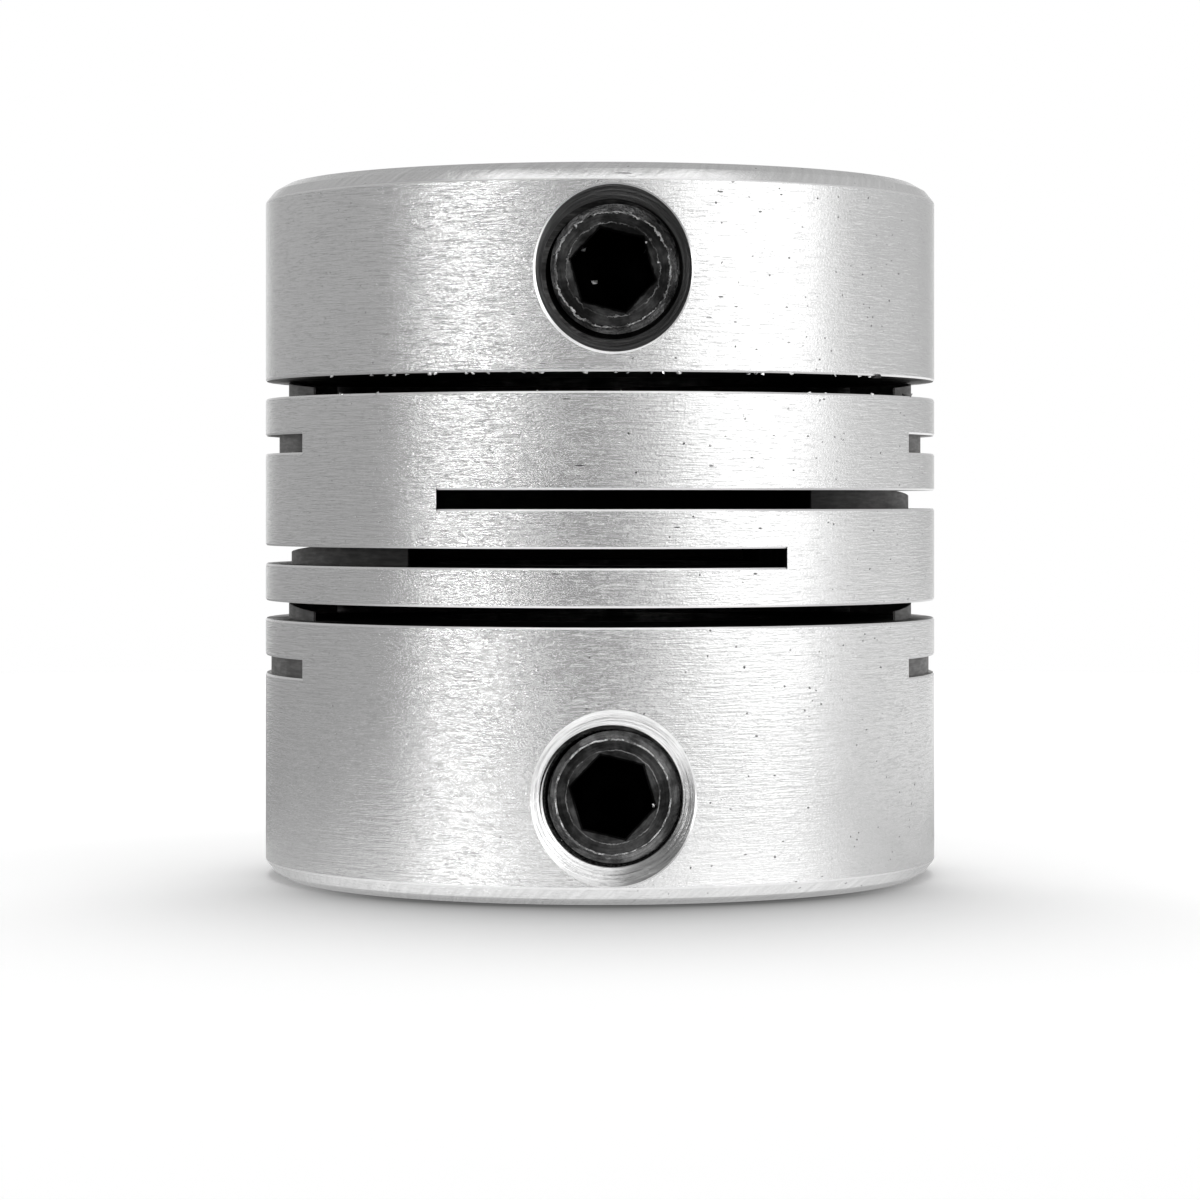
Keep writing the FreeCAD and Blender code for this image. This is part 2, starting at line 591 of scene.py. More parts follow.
def right_end_burrs(material):
    """Two larger burrs at the right end of the top slit."""
    draw = random.Random(burr_seed)
    bm = bmesh.new()
    bottom = lower_hub_height + (len(slit_open_sides) - 1) * slit_pitch
    for turn, height_share, size_share in large_burrs:
        radius = body_radius - large_burr_depth * burr_size
        height = bottom + height_share * slit_width
        centre = Vector(on_circle(radius, math.radians(turn), height))
        size = size_share * burr_size
        add_flake(bm, draw, centre, (size, size, large_burr_height * burr_size))
    finish_flakes("side_burrs", bm, material, "body")


def screw_glint_specks(name, screw_height, body_name, places, material):
    """Bright specks that lie on a set screw, partly swarf and partly placed as painted glints."""
    draw = random.Random(burr_seed)
    bm = bmesh.new()
    for right, up, depth, size in places:
        outwards = -body_radius + screw_recess + depth * mm
        centre = Vector((right * mm, outwards, screw_height + up * mm))
        add_flake(bm, draw, centre, [share * size * mm for share in speck_shape])
    finish_flakes(name, bm, material, body_name)


def shade_sheet_height(angle, start, end, start_loss, end_loss):
    """Share of the slit's height that a sheet of painted shade fills at an angle."""
    near_start = max(0, 1 - (angle - start) / shade_sheet_taper)
    near_end = max(0, 1 - (end - angle) / shade_sheet_taper)
    return 1 - max(start_loss * near_start, end_loss * near_end)


def shade_sheet_strip(bm, number, radius, start, end, start_loss, end_loss):
    """Thin upright dark wall of painted shade inside a slit, along an arc about the axis."""
    bottom = lower_hub_height + number * slit_pitch
    inner = radius * mm - shade_sheet_thickness / 2
    outer = radius * mm + shade_sheet_thickness / 2
    steps = round((end - start) / shade_sheet_step)
    sections = []
    for i in range(steps + 1):
        degrees = start + (end - start) * i / steps
        top = bottom + slit_width * shade_sheet_height(degrees, start, end, start_loss, end_loss)
        corners = ((inner, bottom), (outer, bottom), (outer, top), (inner, top))
        angle = math.radians(degrees)
        sections.append(add_ring(bm, [on_circle(r, angle, height) for r, height in corners]))
    join_all(bm, sections)
    close_ends(bm, sections)


def painted_shade_in_slits(material):
    """Thin dark sheets inside the slits: painted shade that closes the view through them, so that no
    daylight shows through the slits.
    """
    bm = bmesh.new()
    for strip in slit_shade_sheets:
        shade_sheet_strip(bm, *strip)
    face_outwards(bm)
    shade_sheets = as_object("slit_shade_sheets", bm, [material])
    shade(shade_sheets)
    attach(shade_sheets, "body")


class Graph:
    """Short ways to add shader nodes and wire them; a value may be a number, a colour or a socket."""

    def __init__(self, tree):
        self.tree = tree
        tree.nodes.clear()

    def node(self, kind, values=(), **settings):
        node = self.tree.nodes.new(kind)
        for name, setting in settings.items():
            setattr(node, name, setting)
        for key, value in dict(values).items():
            self.give(node.inputs[key], value)
        return node

    def give(self, socket, value):
        if isinstance(value, bpy.types.NodeSocket):
            self.tree.links.new(value, socket)
        else:
            socket.default_value = value

    def math(self, operation, *values):
        return self.node("ShaderNodeMath", enumerate(values), operation=operation).outputs[0]

    def chain(self, operation, first, *others):
        result = first
        for value in others:
            result = self.math(operation, result, value)
        return result

    def product(self, *values):
        return self.chain("MULTIPLY", *values)

    def largest(self, *values):
        return self.chain("MAXIMUM", *values)

    def added(self, base, value, amount):
        """Base plus an amount of a value."""
        return self.math("MULTIPLY_ADD", value, amount, base)

    def varied(self, base, noise, amount):
        """Base that a noise takes half an amount up and down."""
        return self.added(base, self.math("SUBTRACT", noise, noise_middle), amount)

    def length(self, x, y):
        return self.math("SQRT", self.math("ADD", self.product(x, x), self.product(y, y)))

    def vector(self, operation, *values):
        return self.node("ShaderNodeVectorMath", enumerate(values), operation=operation).outputs[0]

    def scaled(self, vector, factor):
        values = {"Vector": vector, "Scale": factor}
        return self.node("ShaderNodeVectorMath", values, operation="SCALE").outputs[0]

    def combined(self, x, y, z):
        return self.node("ShaderNodeCombineXYZ", enumerate((x, y, z))).outputs[0]

    def split(self, vector):
        return self.node("ShaderNodeSeparateXYZ", {0: vector}).outputs

    def ramp(self, value, start, end, low=0.0, high=1.0):
        """Smooth step of a value from low at start to high at end."""
        values = {"Value": value, "From Min": start, "From Max": end, "To Min": low, "To Max": high}
        return self.node("ShaderNodeMapRange", values, interpolation_type="SMOOTHSTEP").outputs[0]

    def noise(self, vector, scale, detail=2.0, roughness=0.5):
        values = {"Vector": vector, "Scale": scale, "Detail": detail, "Roughness": roughness}
        return self.node("ShaderNodeTexNoise", values).outputs["Fac"]

    def stretched_noise(self, x, y, z, scales, detail, roughness=0.6):
        """Noise of three values, each with its own scale."""
        values = [self.product(value, scale) for value, scale in zip((x, y, z), scales)]
        return self.noise(self.combined(*values), 1.0, detail, roughness)

    def cells(self, vector, scale):
        """Distance to the nearest of scattered points, and a random number for that point."""
        node = self.node("ShaderNodeTexVoronoi", {"Vector": vector, "Scale": scale})
        return node.outputs["Distance"], self.split(node.outputs["Color"])[0]

    def mixed(self, factor, first, second):
        node = self.node("ShaderNodeMix", data_type="RGBA")
        for socket, value in ((0, factor), (6, first), (7, second)):
            self.give(node.inputs[socket], value)
        return node.outputs[2]

    def blend(self, factor, first, second):
        node = self.node("ShaderNodeMix", data_type="FLOAT")
        for socket, value in ((0, factor), (2, first), (3, second)):
            self.give(node.inputs[socket], value)
        return node.outputs[0]

    def bump(self, height, depth):
        values = {"Height": height, "Distance": depth, "Strength": 1.0}
        return self.node("ShaderNodeBump", values).outputs[0]


# Materials. Places and lengths in their patterns are in mm. A noise is (scale, detail, roughness), a
# ramp is (start, end, value at the start, value at the end), and a tone multiplies the base colour
noise_middle = 0.5
quarter_turn = 0.25

# Small dents and hairs, shared by the materials
wobble_scale = 9.0
wobble = 0.12
dent_core = 0.4  # share of a dent's size that is at full depth
chance_step = 0.05
hair_cells = 0.5
hair_edge = (0.32, 0.16)

# Turned aluminium. Lines are (scales of x, y and the way across the lines), detail
wide_lines = ((0.5, 0.5, 8.0), 2.0)
fine_lines = ((1.4, 1.4, 21.0), 3.0)
scratch_lines = ((1.3, 1.3, 16.0), 2.0)
scratch_ramp = (0.56, 0.70)
facet_spread = 1.37  # of the radius, which keeps the lines apart on facets and end faces
grain_noise = (11.0, 4.0, 0.65)
cloud_noise = (0.5, 2.0)
dent_spacing = 1.3
dent_size = 0.05
speck_spacing = 0.55
speck_size = 0.042
speck_shift = (7.3, 2.1, 5.7)
hair_length = 0.7
hair_width = 0.05
hair_share = 0.02
hair_lean = (0.3, 0.9, 0.0)
damage_ramp = (-7.0, 3.0, 0.3, 1.0)  # of x: fewer marks on the left
chatter_turns = 55.0
chatter_slant = 5.0
chatter_scales = (1.0, 0.8, 0.0)
chatter_detail = 3.0
wide_tone = 0.03
fine_tone = 0.03
grain_tone = 0.16
cloud_tone = 0.08
damage_tone = -0.75
fine_roughness = 0.2
line_height = 0.8
scratch_height = -0.35
line_ramp = (0.5, 4.0, 1.0, 0.5)  # of x: shallower lines on the right
grain_height = 0.38
damage_height = -1.2
turned_anisotropy = 0.3

# Mouths of the screw holes
mouth_ring_scales = (0.5, 0.5, 11.0)
mouth_grain = (12.0, 2.0)
ring_detail = 3.0
# The mouth gets darker towards the right and down
darker_side = (0.75, -0.55)  # right and up
darker_side_noise = 1.5
darker_side_ramp = (1.3, 2.8)
mouth_base_tone = 0.95
mouth_ring_tone = 1.7
mouth_grain_tone = 0.15
mouth_grain_height = 0.3
# Painted shade next to the thread: how wide its edge is and how dark it is
painted_shade_width = 0.05
painted_shade_tone = 0.03
lower_mouth_look = {
    "level": 0.95,
    "roughness": 0.30,
    "ring_depth": 0.06 * mm,
    "side_darkening": 0.65,
    "painted_shade_edge": 2.42,
    "tilt": 16,
}
upper_mouth_look = {
    "level": 0.15,
    "roughness": 0.4,
    "ring_depth": 0.05 * mm,
    "side_darkening": 0.2,
    "painted_shade_edge": 2.40,
    "tilt": 7,
}

# Walls of the slits, the relief and the tapped holes, painted near black as shade in these hollows
saw_scales = (1.2, 1.2, 9.0)
saw_detail = 3.0
blotch_noise = (0.9, 3.0, 0.6)
saw_range = (0.35, 0.7)  # of both noises
wall_pattern = {"shade_lifts_from": 7.5, "mark_tones": (0.6, 1.6), "blotch_tones": (0.4, 1.7)}
shade_sheet_pattern = {"shade_lifts_from": 5.0, "mark_tones": (0.8, 1.2), "blotch_tones": (0.85, 1.15)}
shade_lift_power = 3.0
dust_warmth = 0.01
saw_depth = 0.004 * mm

# Blackened steel
lower_wear = 0.12
upper_wear = 0.35
steel_ring_scales = (0.7, 0.7, 12.0)
steel_grain = (11.0, 3.0, 0.6)
patch_noise = (1.8, 4.0, 0.7)
patch_ramp = (0.44, 0.58, 0.15, 1.0)
ragged_noise = (3.5, 4.0, 0.65)
# Bright steel at the face's edge, the lead-in and in specks: partly rubbed metal, partly painted
# highlights and glints
worn_edge_highlight = (0.042, 0.016)  # to both sides of the face's edge
worn_line_highlight = (0.028, 0.01)  # to both sides of the socket's lead-in
worn_line_highlight_share = 0.25
steel_speck_spacing = 0.3
steel_speck_size = 0.03
steel_speck_share = 0.25
first_flat = 30  # degrees from a corner of the hexagon to its next flat
hexagon_ragged = 0.4
# Painted shade inside the socket's lead-in
socket_shade_ramp = (1.35, 1.39, 0.08, 1.0)  # dark lead-in up to this half width across flats
smudge_noise = (0.8, 3.0, 0.6)
smudge_ramp = (0.38, 0.66, 0.6, 2.6)
steel_ring_tone = 1.8
steel_grain_tone = 1.0
# Painted light: the chamfer ring past the face's edge is up to three times lighter
chamfer_painted_light_ramp = (0.0, 0.06, 1.0, 3.0)
least_tone = 0.02
steel_grain_height = 0.6
chamfer_tilt = 70.0
worn_height = 6.0
steel_grain_roughness = 0.25
steel_depth = 0.012 * mm
steel_looks = {
    "steel": {"level": 0.03, "roughness": 0.40, "worn_and_glint_level": 0.9},
    "thread": {"level": 0.03, "roughness": 0.40, "worn_and_glint_level": 0.3},
    # The socket's walls are far darker than the rest: painted shade in the socket
    "socket": {"level": 0.004, "roughness": 0.45, "worn_and_glint_level": 0.3, "wear_share": 0.0},
}


def new_material(name):
    material = bpy.data.materials.new(name)
    material.use_nodes = True
    return material, Graph(material.node_tree)


def grey(level, warmth=0.0):
    return (level * (1 + warmth), level, level * (1 - warmth), 1)


def toned(graph, level, tone, warmth=0.0):
    """Grey of a level, lighter and darker with a tone."""
    return graph.scaled(grey(level, warmth)[:3], tone)


def finish_metal(graph, colour, roughness, normal, anisotropy=0.0, tangent=None):
    """Metal shader wired to the material's output."""
    values = {"Base Color": colour, "Metallic": 1.0, "Roughness": roughness, "Normal": normal}
    if tangent is not None:
        values["Tangent"] = tangent
    shader = graph.node("ShaderNodeBsdfPrincipled", values)
    shader.inputs["Anisotropic"].default_value = anisotropy
    shader.inputs["Anisotropic Rotation"].default_value = quarter_turn
    output = graph.node("ShaderNodeOutputMaterial")
    graph.give(output.inputs["Surface"], shader.outputs[0])


def place_in_mm(graph):
    return graph.scaled(graph.node("ShaderNodeTexCoord").outputs["Object"], 1 / mm)


def place_round_screw(graph, place, screw_height):
    """Right of the screw's axis, up from it, and distance from it."""
    x, _, z = graph.split(place)
    up = graph.math("SUBTRACT", z, screw_height / mm)
    return x, up, graph.length(x, up)


def scatter_marks(graph, place, spacing, size, share):
    """Mask of small dark dents at random places."""
    noise = graph.node("ShaderNodeTexNoise", {"Vector": place, "Scale": wobble_scale})
    bent = graph.vector("ADD", place, graph.scaled(noise.outputs["Color"], wobble))
    distance, chance = graph.cells(bent, 1 / spacing)
    spot = graph.ramp(distance, size / spacing, dent_core * size / spacing)
    return graph.product(spot, graph.ramp(chance, 1 - share, 1 - share + chance_step))


def scatter_hairs(graph, place, length, width, share, lean):
    """Mask of short fine scratches that lean one way."""
    scale = (1 / length, 1 / width, 1 / width)
    mapping = graph.node("ShaderNodeMapping", {"Vector": place, "Rotation": lean, "Scale": scale})
    distance, chance = graph.cells(mapping.outputs[0], hair_cells)
    line = graph.ramp(distance, *hair_edge)
    return graph.product(line, graph.ramp(chance, 1 - share, 1 - share / 2))


def handling_marks(graph, place, share):
    """Mask of the dents, specks and hairs on turned aluminium."""
    x, _, _ = graph.split(place)
    shifted = graph.vector("ADD", place, speck_shift)
    dents = scatter_marks(graph, place, dent_spacing, dent_size, share)
    specks = scatter_marks(graph, shifted, speck_spacing, speck_size, share)
    hairs = scatter_hairs(graph, place, hair_length, hair_width, hair_share * share, hair_lean)
    return graph.product(graph.largest(dents, specks, hairs), graph.ramp(x, *damage_ramp))


def turned_aluminium(name, level, roughness, line_depth, marks, chatter=0.0):
    """Lathe-turned satin aluminium: fine lines round the axis, grain, small dents and scratches."""
    material, graph = new_material(name)
    place = place_in_mm(graph)
    x, y, z = graph.split(place)
    across = graph.added(z, graph.length(x, y), facet_spread)
    wide = graph.stretched_noise(x, y, across, *wide_lines)
    fine = graph.stretched_noise(x, y, across, *fine_lines)
    scratches = graph.ramp(graph.stretched_noise(x, y, across, *scratch_lines), *scratch_ramp)
    grain = graph.noise(place, *grain_noise)
    clouds = graph.noise(place, *cloud_noise)
    damage = handling_marks(graph, place, marks)
    turn = graph.product(graph.math("ARCTAN2", x, y), chatter_turns)
    slant = graph.added(turn, z, chatter_slant)
    waves = graph.stretched_noise(slant, z, 0.0, chatter_scales, chatter_detail)

    tone = graph.varied(1.0, wide, wide_tone)
    tone = graph.varied(tone, fine, fine_tone)
    tone = graph.varied(tone, grain, grain_tone)
    tone = graph.varied(tone, clouds, cloud_tone)
    tone = graph.varied(tone, waves, chatter)
    tone = graph.product(tone, graph.added(1.0, damage, damage_tone))

    height = graph.product(graph.math("ADD", wide, fine), line_height)
    height = graph.added(height, scratches, scratch_height)
    height = graph.product(height, graph.ramp(x, *line_ramp))
    height = graph.added(height, grain, grain_height)
    height = graph.added(height, damage, damage_height)
    height = graph.added(height, waves, chatter)
    normal = graph.bump(height, line_depth)

    rough = graph.varied(roughness, fine, fine_roughness)
    tangent = graph.node("ShaderNodeTangent", direction_type="RADIAL", axis="Z").outputs[0]
    finish_metal(graph, toned(graph, level, tone), rough, normal, turned_anisotropy, tangent)
    return material


def countersunk_aluminium(name, screw_height, level, roughness, ring_depth, side_darkening, painted_shade_edge, tilt):
    """Conical mouth of a screw hole: rings round the screw's axis, darker towards the right and down, and
    painted shade next to the thread.
    """
    material, graph = new_material(name)
    place = place_in_mm(graph)
    x, up, radius = place_round_screw(graph, place, screw_height)
    rings = graph.stretched_noise(x, up, radius, mouth_ring_scales, ring_detail)
    grain = graph.noise(place, *mouth_grain)
    right_share, up_share = darker_side
    side = graph.added(graph.product(x, right_share), up, up_share)
    darkened_side = graph.ramp(graph.math("ADD", side, graph.noise(place, darker_side_noise)), *darker_side_ramp, 0.0, side_darkening)
    # Painted shade: the cone is nearly black inside this radius, next to the thread
    out_of_painted_shade = graph.ramp(radius, painted_shade_edge, painted_shade_edge + painted_shade_width, painted_shade_tone, 1.0)
    tone = graph.product(graph.varied(mouth_base_tone, rings, mouth_ring_tone), out_of_painted_shade)
    tone = graph.varied(tone, grain, mouth_grain_tone)
    tone = graph.product(tone, graph.math("SUBTRACT", 1.0, darkened_side))
    height = graph.added(rings, grain, mouth_grain_height)
    height = graph.added(height, radius, -tilt)
    finish_metal(graph, toned(graph, level, tone), roughness, graph.bump(height, ring_depth))
    return material


def sawn_aluminium_in_painted_shade(name, level, end_level, roughness, shade_lifts_from, mark_tones, blotch_tones):
    """Straight saw marks on a near black colour that is painted shade in the hollows, with less painted
    shade to the left and right by the end level.
    """
    material, graph = new_material(name)
    place = place_in_mm(graph)
    x, y, z = graph.split(place)
    marks = graph.stretched_noise(x, y, z, saw_scales, saw_detail)
    blotches = graph.noise(place, *blotch_noise)
    # Painted shade that lifts towards the open ends of the slits
    outward = graph.ramp(graph.math("ABSOLUTE", x), shade_lifts_from, body_radius / mm)
    shade_lift = graph.math("POWER", outward, shade_lift_power)
    tone = graph.product(
        graph.ramp(marks, *saw_range, *mark_tones),
        graph.ramp(blotches, *saw_range, *blotch_tones),
        graph.added(level, shade_lift, end_level),
    )
    colour = toned(graph, 1.0, tone, dust_warmth)
    finish_metal(graph, colour, roughness, graph.bump(marks, saw_depth))
    return material


def out_of_socket_shade_mask(graph, x, up, ragged):
    """Mask of painted shade: dark inside the socket's lead-in and 1 around it."""
    spread = []
    for number in range(socket_sides // 2):
        turn = math.radians(socket_turn + first_flat + socket_side_angle * number)
        across = graph.added(graph.product(up, math.sin(turn)), x, math.cos(turn))
        spread.append(graph.math("ABSOLUTE", across))
    return graph.ramp(graph.added(graph.largest(*spread), ragged, hexagon_ragged), *socket_shade_ramp)


def rubbed_steel_and_painted_glints(graph, place, from_edge, from_lead_in, wear):
    """Mask of bright steel, partly rubbed metal and partly painted highlights and glints: the face's edge,
    the lead-in's edge and specks.
    """
    patchy = graph.ramp(graph.noise(place, *patch_noise), *patch_ramp)
    edge = graph.ramp(graph.math("ABSOLUTE", from_edge), *worn_edge_highlight)
    line = graph.ramp(graph.math("ABSOLUTE", from_lead_in), *worn_line_highlight)
    rubbed = graph.largest(edge, graph.product(line, worn_line_highlight_share))
    share = steel_speck_share * wear
    specks = scatter_marks(graph, place, steel_speck_spacing, steel_speck_size, share)
    return graph.largest(graph.product(rubbed, patchy), specks)


def black_oxide(name, screw_height, wear, level, roughness, worn_and_glint_level, wear_share=1.0):
    """Blackened steel, slightly oily, with bright metal where edges have rubbed, which also stands in for
    edge highlights and glints.
    """
    material, graph = new_material(name)
    wear = wear * wear_share
    place = place_in_mm(graph)
    x, up, radius = place_round_screw(graph, place, screw_height)
    rings = graph.stretched_noise(x, up, radius, steel_ring_scales, ring_detail)
    grain = graph.noise(place, *steel_grain)
    ragged = graph.varied(0.0, graph.noise(place, *ragged_noise), wear)
    from_edge = graph.math("ADD", graph.math("SUBTRACT", radius, screw_face_radius / mm), ragged)
    from_lead_in = graph.math("ADD", graph.math("SUBTRACT", radius, socket_mouth_radius / mm), ragged)
    worn_and_glints = rubbed_steel_and_painted_glints(graph, place, from_edge, from_lead_in, wear)
    out_of_socket_shade = out_of_socket_shade_mask(graph, x, up, ragged)
    smudges = graph.ramp(graph.noise(place, *smudge_noise), *smudge_ramp)

    tone = graph.varied(1.0, rings, steel_ring_tone)
    tone = graph.varied(tone, grain, steel_grain_tone)
    tone = graph.product(tone, smudges, out_of_socket_shade, graph.ramp(from_edge, *chamfer_painted_light_ramp))
    dark = toned(graph, level, graph.largest(tone, least_tone))
    colour = graph.mixed(graph.product(worn_and_glints, out_of_socket_shade), dark, grey(worn_and_glint_level))

    height = graph.added(rings, grain, steel_grain_height)
    height = graph.added(height, graph.largest(from_edge, 0.0), chamfer_tilt)
    height = graph.added(height, graph.product(worn_and_glints, grain), worn_height)
    rough = graph.varied(roughness, grain, steel_grain_roughness)
    finish_metal(graph, colour, rough, graph.bump(height, steel_depth))
    return material


def aluminium_materials():
    return {
        "turned": turned_aluminium(
            "turned_side", level=0.76, roughness=0.20, line_depth=0.034 * mm, marks=0.9
        ),
        "facet": turned_aluminium(
            "turned_facet", level=0.76, roughness=0.22, line_depth=0.014 * mm, marks=0.9, chatter=0.35
        ),
        "bored": turned_aluminium(
            "bored_wall", level=0.70, roughness=0.32, line_depth=0.005 * mm, marks=0.2
        ),
        # Broken edges, burrs and specks: lighter than the turned side, partly burnished metal and partly a
        # painted highlight
        "lip_with_painted_highlight": turned_aluminium(
            "broken_edge_painted_highlight", level=0.86, roughness=0.30, line_depth=0.002 * mm, marks=0.1
        ),
        # The low levels of these walls are painted shade in the relief, the slits and the tapped holes
        "relief": sawn_aluminium_in_painted_shade("relief_wall_painted_shade", level=0.022, end_level=0.0, roughness=0.5, **wall_pattern),
        "sawn": sawn_aluminium_in_painted_shade("sawn_wall_painted_shade", level=0.03, end_level=0.5, roughness=0.5, **wall_pattern),
        "tapped": sawn_aluminium_in_painted_shade("tapped_wall_painted_shade", level=0.05, end_level=0.0, roughness=0.5, **wall_pattern),
        # dark sheets of painted shade inside the slits
        "shade_sheets": sawn_aluminium_in_painted_shade("shade_sheets", level=0.05, end_level=0.2, roughness=0.6, **shade_sheet_pattern),
        "lower_mouth": countersunk_aluminium("lower_mouth", lower_screw_height, **lower_mouth_look),
        "upper_mouth": countersunk_aluminium("upper_mouth", upper_screw_height, **upper_mouth_look),
    }


def steel_materials(name, screw_height, wear):
    return {
        finish: black_oxide(name + "_" + finish, screw_height, wear, **look)
        for finish, look in steel_looks.items()
    }


# Camera: level, a little left of the front, with the film shifted down to frame the object
camera_distance = 143.7 * mm
camera_height = 13.96 * mm
camera_turn = math.radians(-2.2)
camera_lens = 114.83
camera_sensor = 36
camera_nearest = 1 * mm
photo_width = 1200  # pixels
shift_pixels = -100


def add_camera():
    data = bpy.data.cameras.new("camera")
    data.lens = camera_lens
    data.sensor_width = camera_sensor
    data.shift_y = shift_pixels / photo_width
    data.clip_start = camera_nearest
    camera = bpy.data.objects.new("camera", data)
    camera.location = on_circle(camera_distance, camera_turn - math.radians(90), camera_height)
    camera.rotation_euler = (math.radians(90), 0, camera_turn)
    bpy.context.scene.collection.objects.link(camera)
    bpy.context.scene.camera = camera


# Floor. Levels are the brightness that is seen, where 1 is white
floor_radius = 0.17
floor_columns = 96
floor_shade = 0.85
floor_lift = 0.3  # more for the camera, so that the open floor is white
axis_guard = 1 * mm
in_front_range = (-0.2, -0.9)  # of y over the distance from the axis, where -1 is straight in front
# Painted contact shadow round the base, strongest in front
contact_close = 0.56  # darkening where the base meets the floor, and how far it reaches
contact_reach = 1.6 * mm
contact_wide = 0.23
contact_far_reach = 9 * mm
contact_side_share = 0.16  # of it at the sides and behind
# The floor glows for the metal's reflections at these levels: a painted reflection, with painted shade
# under the base and painted light in a ring round the front
seen_under = 0.5  # level of the floor in the metal's reflections: under the base
seen_near = 1.0  # near the base in front
seen_beside = 0.6  # near the base at the sides and behind
seen_ring = 1.25  # in a ring round the front
seen_left = 0.34  # further out
seen_right = 1.1
under_range = (body_radius - 0.6 * mm, body_radius - 0.2 * mm)
ring_inside = (15 * mm, 16.5 * mm)
ring_outside = (22 * mm, 19.5 * mm)
near_range = (15 * mm, 21 * mm)
far_range = (5 * mm, 50 * mm)  # from the left level to the right one


def painted_contact_shadow(graph, reach, in_front):
    """Painted shadow: the share of its colour that the floor keeps near the base."""
    away = graph.largest(graph.math("SUBTRACT", reach, body_radius), 0.0)
    close = graph.math("EXPONENT", graph.math("DIVIDE", away, -contact_reach))
    wide = graph.math("EXPONENT", graph.math("DIVIDE", away, -contact_far_reach))
    both = graph.added(graph.product(close, contact_close), wide, contact_wide)
    return graph.math("SUBTRACT", 1.0, graph.product(both, in_front))


def painted_floor_reflection(graph, x, reach, forward, in_front):
    """Painted reflection: the level at which the floor glows in the metal's reflections, with painted
    shade under the base.
    """
    far = graph.ramp(x, *far_range, seen_left, seen_right)
    near = graph.ramp(forward, *in_front_range, seen_beside, seen_near)
    ring = graph.product(graph.ramp(reach, *ring_inside), graph.ramp(reach, *ring_outside))
    seen = graph.blend(graph.ramp(reach, *near_range), near, far)
    seen = graph.blend(graph.product(ring, in_front), seen, seen_ring)
    return graph.blend(graph.ramp(reach, *under_range), seen_under, seen)


def add_floor():
    bm = bmesh.new()
    close_flat(bm, add_circle(bm, floor_radius, 0, circle_angles(floor_columns)), True)
    material, graph = new_material("floor_with_painted_shadow")
    x, y, _ = graph.split(graph.node("ShaderNodeTexCoord").outputs["Object"])
    rays = graph.node("ShaderNodeLightPath").outputs
    reach = graph.length(x, y)
    forward = graph.math("DIVIDE", y, graph.largest(reach, axis_guard))
    in_front = graph.ramp(forward, *in_front_range, contact_side_share, 1.0)
    shade_level = graph.added(floor_shade, rays["Is Camera Ray"], floor_lift)
    # painted shadow round the base
    shade_level = graph.product(shade_level, painted_contact_shadow(graph, reach, in_front))
    colour = graph.combined(shade_level, shade_level, shade_level)
    lit = graph.node("ShaderNodeBsdfDiffuse", {"Color": colour}).outputs[0]
    seen = painted_floor_reflection(graph, x, reach, forward, in_front)
    painted_floor_glow = graph.node("ShaderNodeEmission", {"Strength": seen}).outputs[0]
    shaders = {0: rays["Is Glossy Ray"], 1: lit, 2: painted_floor_glow}
    shader = graph.node("ShaderNodeMixShader", shaders).outputs[0]
    output = graph.node("ShaderNodeOutputMaterial")
    graph.give(output.inputs["Surface"], shader)
    floor = as_object("floor", bm, [material])


# World: levels that the object sees by direction. Ranges are of the direction's x, y or z
front_level = 0.32
left_level = 0.50
right_level = 0.64
backdrop_level = 1.0
raised_level = 1.4  # band in front, high up, that the steep facets and broken edges mirror
overhead_left = 0.42
overhead_right = 0.64
sides_range = (0.1, 0.95)
front_range = (-0.4, -0.9)
backdrop_range = (0.90, 0.99)
raised_bottom = (0.78, 0.86)
raised_top = (0.955, 0.93)
raised_front = (0.0, -0.2)
overhead_range = (0.93, 0.955)
overhead_sides = (-0.3, 0.3)


def add_world():
    """White backdrop for the camera; the object sees a white backdrop, grey sides and a dim front."""
    world = bpy.data.worlds.new("studio")
    world.use_nodes = True
    bpy.context.scene.world = world
    graph = Graph(world.node_tree)
    x, y, z = graph.split(graph.node("ShaderNodeTexCoord").outputs["Generated"])
    sides = graph.ramp(x, *sides_range, left_level, right_level)
    level = graph.math("ADD", sides, graph.ramp(y, *front_range, 0.0, front_level - left_level))
    level = graph.blend(graph.ramp(y, *backdrop_range), level, backdrop_level)
    raised = graph.product(
        graph.ramp(z, *raised_bottom), graph.ramp(z, *raised_top), graph.ramp(y, *raised_front)
    )
    level = graph.blend(raised, level, raised_level)
    overhead = graph.ramp(x, *overhead_sides, overhead_left, overhead_right)
    level = graph.blend(graph.ramp(z, *overhead_range), level, overhead)
    light = graph.combined(level, level, level)
    seen = graph.node("ShaderNodeLightPath").outputs["Is Camera Ray"]
    background = graph.node("ShaderNodeBackground", {"Color": graph.mixed(seen, light, grey(1.0))})
    output = graph.node("ShaderNodeOutputWorld")
    graph.give(output.inputs["Surface"], background.outputs[0])


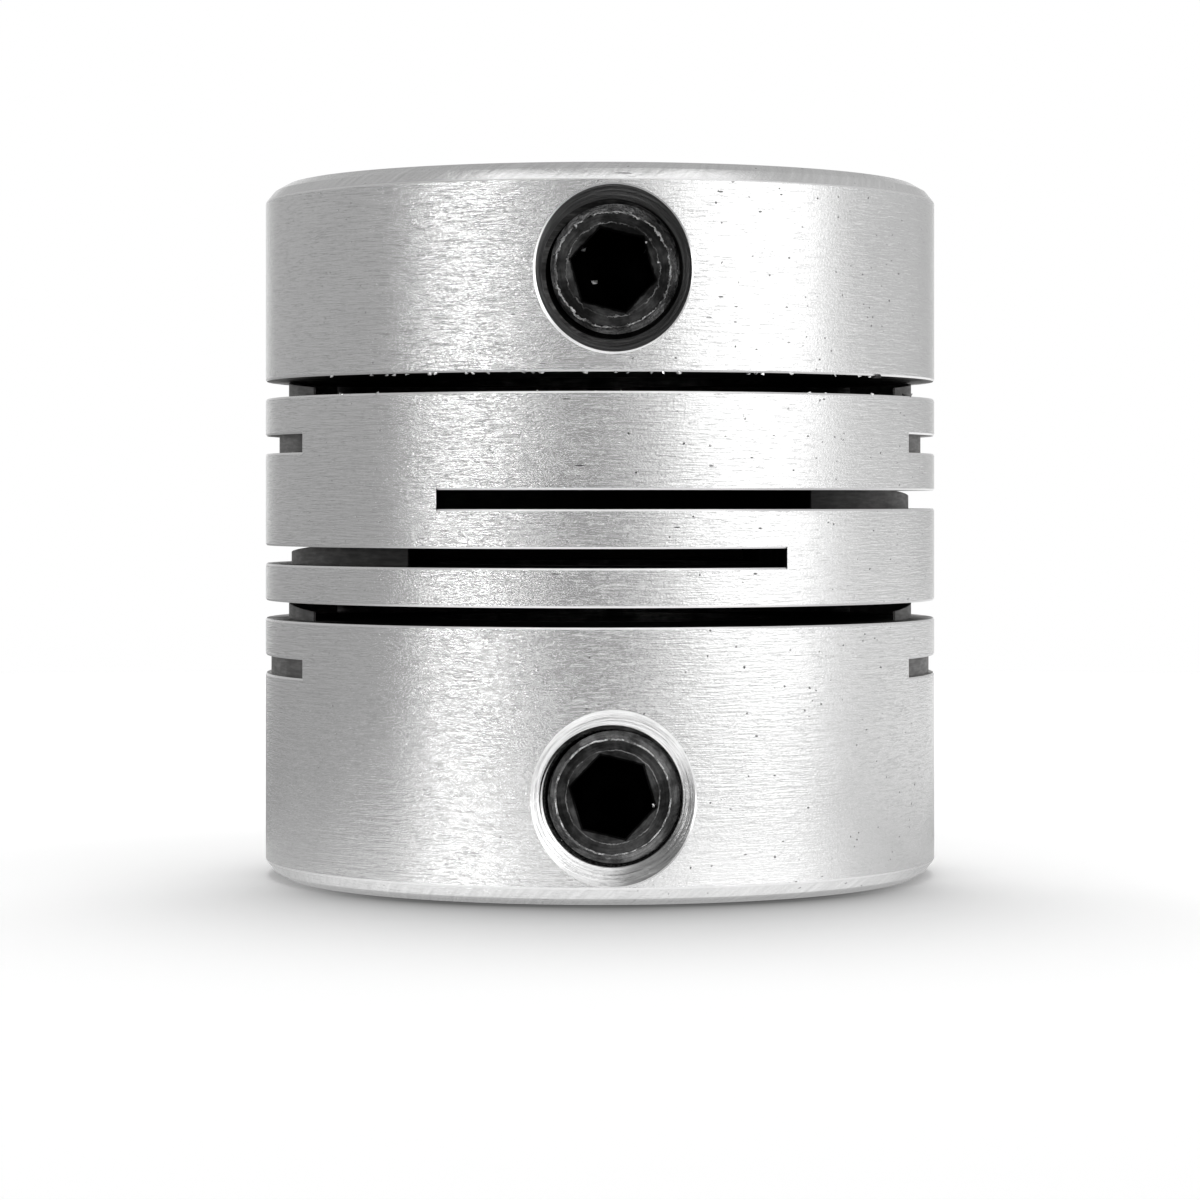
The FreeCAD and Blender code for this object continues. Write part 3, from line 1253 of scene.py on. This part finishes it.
# Lamps: degrees from the camera's side towards the right and up, size in metres, level where 1 is white
lamp_distance = 0.45
left_lamp = {"turn": -45, "lift": 4, "width": 0.22, "height": 0.12, "level": 5.0}
right_lamp = {"turn": 46, "lift": 10, "width": 0.50, "height": 0.52, "level": 1.30}
top_lamp = {"turn": 180, "lift": 68, "width": 0.30, "height": 0.30, "level": 3.0}


def add_lamp(name, in_mirror, turn, lift, width, height, level):
    """Soft rectangular lamp that faces the object.

    The lamps that the metal mirrors light nothing else, and the one that lights the floor is not
    mirrored.
    """
    data = bpy.data.lights.new(name, "AREA")
    data.shape = "RECTANGLE"
    data.size = width
    data.size_y = height
    data.energy = level * math.pi * width * height
    lamp = bpy.data.objects.new(name, data)
    turn = math.radians(turn)
    lift = math.radians(lift)
    direction = Vector(
        (math.sin(turn) * math.cos(lift), -math.cos(turn) * math.cos(lift), math.sin(lift))
    )
    target = Vector((0, 0, body_length / 2))
    lamp.location = target + direction * lamp_distance
    lamp.rotation_euler = direction.to_track_quat("Z", "Y").to_euler()
    lamp.visible_glossy = in_mirror
    lamp.visible_diffuse = not in_mirror
    bpy.context.scene.collection.objects.link(lamp)


screws = (
    ("lower_screw", "lower_set_screw", lower_screw_height, lower_wear, lower_screw_glint_specks),
    ("upper_screw", "upper_set_screw", upper_screw_height, upper_wear, upper_screw_glint_specks),
)
aluminium = aluminium_materials()
coupling_body(aluminium)
for screw, node, height, wear, _ in screws:
    set_screw(screw + "_piece", height, screw, node, steel_materials(screw, height, wear))
top_slit_burrs(aluminium["lip_with_painted_highlight"])
# the larger burrs take the slit walls' near black colour, with its painted shade
right_end_burrs(aluminium["sawn"])
# dark sheets of painted shade that close the view through the slits
painted_shade_in_slits(aluminium["shade_sheets"])
for screw, _, height, _, specks in screws:
    screw_glint_specks(screw + "_chips", height, screw, specks, aluminium["lip_with_painted_highlight"])

add_camera()
add_floor()
add_world()
add_lamp("left_lamp", True, **left_lamp)
add_lamp("right_lamp", True, **right_lamp)
add_lamp("top_lamp", False, **top_lamp)
bpy.context.scene.view_settings.view_transform = "Standard"
